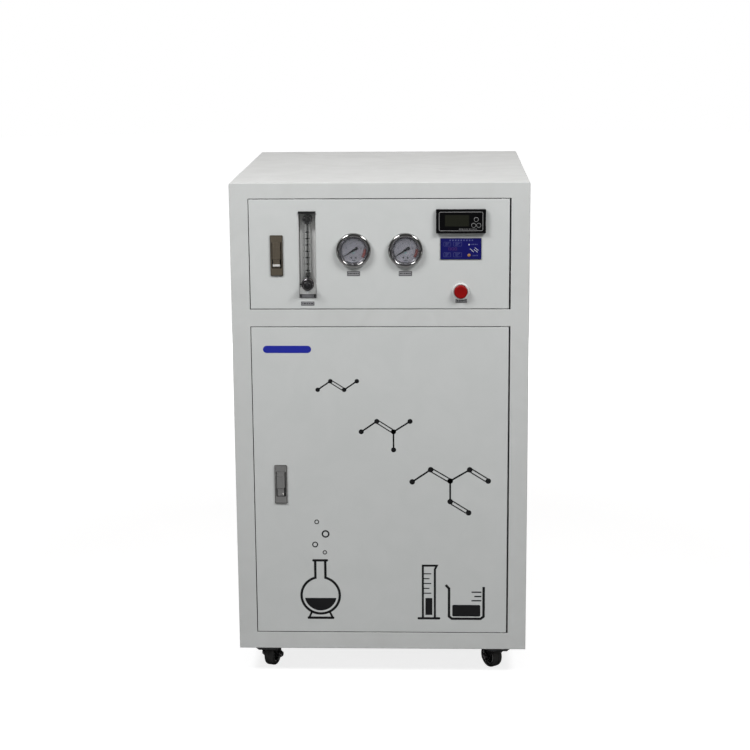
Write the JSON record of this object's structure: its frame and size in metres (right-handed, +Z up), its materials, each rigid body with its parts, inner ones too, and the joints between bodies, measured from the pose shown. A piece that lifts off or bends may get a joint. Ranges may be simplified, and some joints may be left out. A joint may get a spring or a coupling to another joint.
{
  "type": "deionized water purifier",
  "caption": "Floor-standing laboratory water purifier: steel cabinet on swivel casters, two doors, instrument panel with flow meter, pressure gauges, monitor and switch.",
  "frame": {"origin": "on the floor, under the middle of the object's outline", "axes": "+X to the right of someone facing the doors, +Y to the back, +Z up; the doors face -Y"},
  "size_m": [0.6, 0.716, 1.04],
  "materials": {
    "white_paint": "fine textured powder coat",
    "black_plastic": "satin",
    "black_paint": "satin",
    "wheel_rubber": "matt",
    "chrome": "polished",
    "zinc": "zinc plated",
    "bronze": "satin bronze",
    "acrylic": "polished clear",
    "glass": "clear",
    "blue_film": "satin printed film",
    "red_plastic": "satin",
    "white_plastic": "satin",
    "blue_plastic": "satin",
    "supply_case": "plain"
  },
  "bodies": {
    "cabinet": {"outer_wrap": "white_paint", "front_frame": "white_paint", "base_pan": "white_paint", "back_panel": "white_paint", "mid_shelf": "white_paint", "feed_inlet": "white_plastic", "product_outlet": "white_plastic", "drain_outlet": "white_plastic", "power_inlet": "black_plastic", "upper_door_top_pin": "zinc", "upper_door_bottom_pin": "zinc", "lower_door_top_pin": "zinc", "lower_door_bottom_pin": "zinc", "filter_head_bar": "black_plastic", "sediment_bowl": "blue_plastic", "carbon_bowl": "blue_plastic", "resin_column": "white_plastic", "booster_pump": "black_paint", "ro_vessel": "white_plastic", "power_supply": "supply_case", "front_left_caster_plate": "zinc", "front_right_caster_plate": "zinc", "rear_left_caster_plate": "zinc", "rear_right_caster_plate": "zinc"},
    "upper_door": {"upper_door": "white_paint", "upper_latch_body": "bronze", "left_gauge_case": "chrome", "left_gauge_lens": "glass", "right_gauge_case": "chrome", "right_gauge_lens": "glass", "flow_meter_body": "acrylic", "flow_meter_rod": "zinc", "monitor_housing": "black_plastic", "monitor_window": "black_plastic", "controller_module": "blue_film", "power_switch_body": "white_plastic"},
    "lower_door": {"lower_door": "white_paint", "lower_latch_body": "zinc"},
    "left_gauge_pointer": {"left_gauge_pointer": "black_plastic"},
    "right_gauge_pointer": {"right_gauge_pointer": "black_plastic"},
    "flow_meter_float": {"flow_meter_float": "black_plastic"},
    "flow_meter_knob": {"flow_meter_knob": "black_plastic"},
    "power_switch_cap": {"power_switch_cap": "red_plastic"},
    "monitor_top_key": {"monitor_top_key": "black_plastic"},
    "monitor_left_key": {"monitor_left_key": "black_plastic"},
    "monitor_right_key": {"monitor_right_key": "black_plastic"},
    "upper_latch_handle": {"upper_latch_handle": "bronze"},
    "upper_latch_button": {"upper_latch_button": "bronze"},
    "upper_latch_bolt": {"upper_latch_bolt": "zinc"},
    "lower_latch_handle": {"lower_latch_handle": "zinc"},
    "lower_latch_button": {"lower_latch_button": "zinc"},
    "lower_latch_bolt": {"lower_latch_bolt": "zinc"},
    "front_left_caster_fork": {"front_left_caster_fork": "black_paint"},
    "front_left_caster_wheel": {"front_left_caster_wheel": "wheel_rubber"},
    "front_right_caster_fork": {"front_right_caster_fork": "black_paint"},
    "front_right_caster_wheel": {"front_right_caster_wheel": "wheel_rubber"},
    "rear_left_caster_fork": {"rear_left_caster_fork": "black_paint"},
    "rear_left_caster_wheel": {"rear_left_caster_wheel": "wheel_rubber"},
    "rear_right_caster_fork": {"rear_right_caster_fork": "black_paint"},
    "rear_right_caster_wheel": {"rear_right_caster_wheel": "wheel_rubber"}
  },
  "joints": [
    {"name": "upper_door_hinge", "type": "hinge", "parent": "cabinet", "child": "upper_door", "pos_m": [0.2513, -0.329, 0.784], "axis": [0, 0, 1], "range_deg": [0, 110]},
    {"name": "lower_door_hinge", "type": "hinge", "parent": "cabinet", "child": "lower_door", "pos_m": [0.2513, -0.329, 0.096], "axis": [0, 0, 1], "range_deg": [0, 110]},
    {"name": "left_gauge_pointer_turn", "type": "hinge", "parent": "upper_door", "child": "left_gauge_pointer", "pos_m": [-0.052, -0.336, 0.9045], "axis": [0, 1, 0], "range_deg": [0, 250]},
    {"name": "right_gauge_pointer_turn", "type": "hinge", "parent": "upper_door", "child": "right_gauge_pointer", "pos_m": [0.052, -0.336, 0.9045], "axis": [0, 1, 0], "range_deg": [0, 250]},
    {"name": "float_rise", "type": "slide", "parent": "upper_door", "child": "flow_meter_float", "axis": [0, 0, 1], "range_m": [0, 0.086]},
    {"name": "flow_knob_turn", "type": "hinge", "parent": "upper_door", "child": "flow_meter_knob", "pos_m": [-0.1447, -0.336, 0.836], "axis": [0, -1, 0], "range_deg": [0, 1440]},
    {"name": "power_switch_press", "type": "slide", "parent": "upper_door", "child": "power_switch_cap", "axis": [0, 1, 0], "range_m": [0, 0.003], "stiffness_N_per_m": 400},
    {"name": "top_key_press", "type": "slide", "parent": "upper_door", "child": "monitor_top_key", "axis": [0, 1, 0], "range_m": [0, 0.001], "stiffness_N_per_m": 300},
    {"name": "left_key_press", "type": "slide", "parent": "upper_door", "child": "monitor_left_key", "axis": [0, 1, 0], "range_m": [0, 0.001], "stiffness_N_per_m": 300},
    {"name": "right_key_press", "type": "slide", "parent": "upper_door", "child": "monitor_right_key", "axis": [0, 1, 0], "range_m": [0, 0.001], "stiffness_N_per_m": 300},
    {"name": "upper_latch_handle_swing", "type": "hinge", "parent": "upper_door", "child": "upper_latch_handle", "pos_m": [-0.2065, -0.3361, 0.9179], "axis": [-1, 0, 0], "range_deg": [0, 35]},
    {"name": "upper_latch_button_press", "type": "slide", "parent": "upper_door", "child": "upper_latch_button", "axis": [0, 1, 0], "range_m": [0, 0.0025], "stiffness_N_per_m": 400},
    {"name": "upper_latch_bolt_draw", "type": "slide", "parent": "upper_door", "child": "upper_latch_bolt", "axis": [1, 0, 0], "range_m": [0, 0.008]},
    {"name": "lower_latch_handle_swing", "type": "hinge", "parent": "lower_door", "child": "lower_latch_handle", "pos_m": [-0.2065, -0.3361, 0.4424], "axis": [-1, 0, 0], "range_deg": [0, 35]},
    {"name": "lower_latch_button_press", "type": "slide", "parent": "lower_door", "child": "lower_latch_button", "axis": [0, 1, 0], "range_m": [0, 0.0025], "stiffness_N_per_m": 400},
    {"name": "lower_latch_bolt_draw", "type": "slide", "parent": "lower_door", "child": "lower_latch_bolt", "axis": [1, 0, 0], "range_m": [0, 0.008]},
    {"name": "front_left_caster_swivel", "type": "hinge", "parent": "cabinet", "child": "front_left_caster_fork", "pos_m": [-0.243, -0.292, 0.05], "axis": [0, 0, 1], "continuous": true},
    {"name": "front_left_wheel_spin", "type": "hinge", "parent": "front_left_caster_fork", "child": "front_left_caster_wheel", "pos_m": [-0.23682, -0.27298, 0.025], "axis": [-0.9511, 0.309, 0], "continuous": true},
    {"name": "front_right_caster_swivel", "type": "hinge", "parent": "cabinet", "child": "front_right_caster_fork", "pos_m": [0.243, -0.292, 0.05], "axis": [0, 0, 1], "continuous": true},
    {"name": "front_right_wheel_spin", "type": "hinge", "parent": "front_right_caster_fork", "child": "front_right_caster_wheel", "pos_m": [0.23096, -0.27603, 0.025], "axis": [-0.7986, -0.6018, 0], "continuous": true},
    {"name": "rear_left_caster_swivel", "type": "hinge", "parent": "cabinet", "child": "rear_left_caster_fork", "pos_m": [-0.243, 0.29, 0.05], "axis": [0, 0, 1], "continuous": true},
    {"name": "rear_left_wheel_spin", "type": "hinge", "parent": "rear_left_caster_fork", "child": "rear_left_caster_wheel", "pos_m": [-0.25049, 0.27146, 0.025], "axis": [0.9272, -0.3746, 0], "continuous": true},
    {"name": "rear_right_caster_swivel", "type": "hinge", "parent": "cabinet", "child": "rear_right_caster_fork", "pos_m": [0.243, 0.29, 0.05], "axis": [0, 0, 1], "continuous": true},
    {"name": "rear_right_wheel_spin", "type": "hinge", "parent": "rear_right_caster_fork", "child": "rear_right_caster_wheel", "pos_m": [0.24818, 0.27068, 0.025], "axis": [0.9659, 0.2588, 0], "continuous": true}
  ],
  "couplings": [
    {"joint": "upper_latch_bolt_draw", "follows": "upper_latch_handle_swing", "m_per_rad": 0.013},
    {"joint": "lower_latch_bolt_draw", "follows": "lower_latch_handle_swing", "m_per_rad": 0.013}
  ]
}
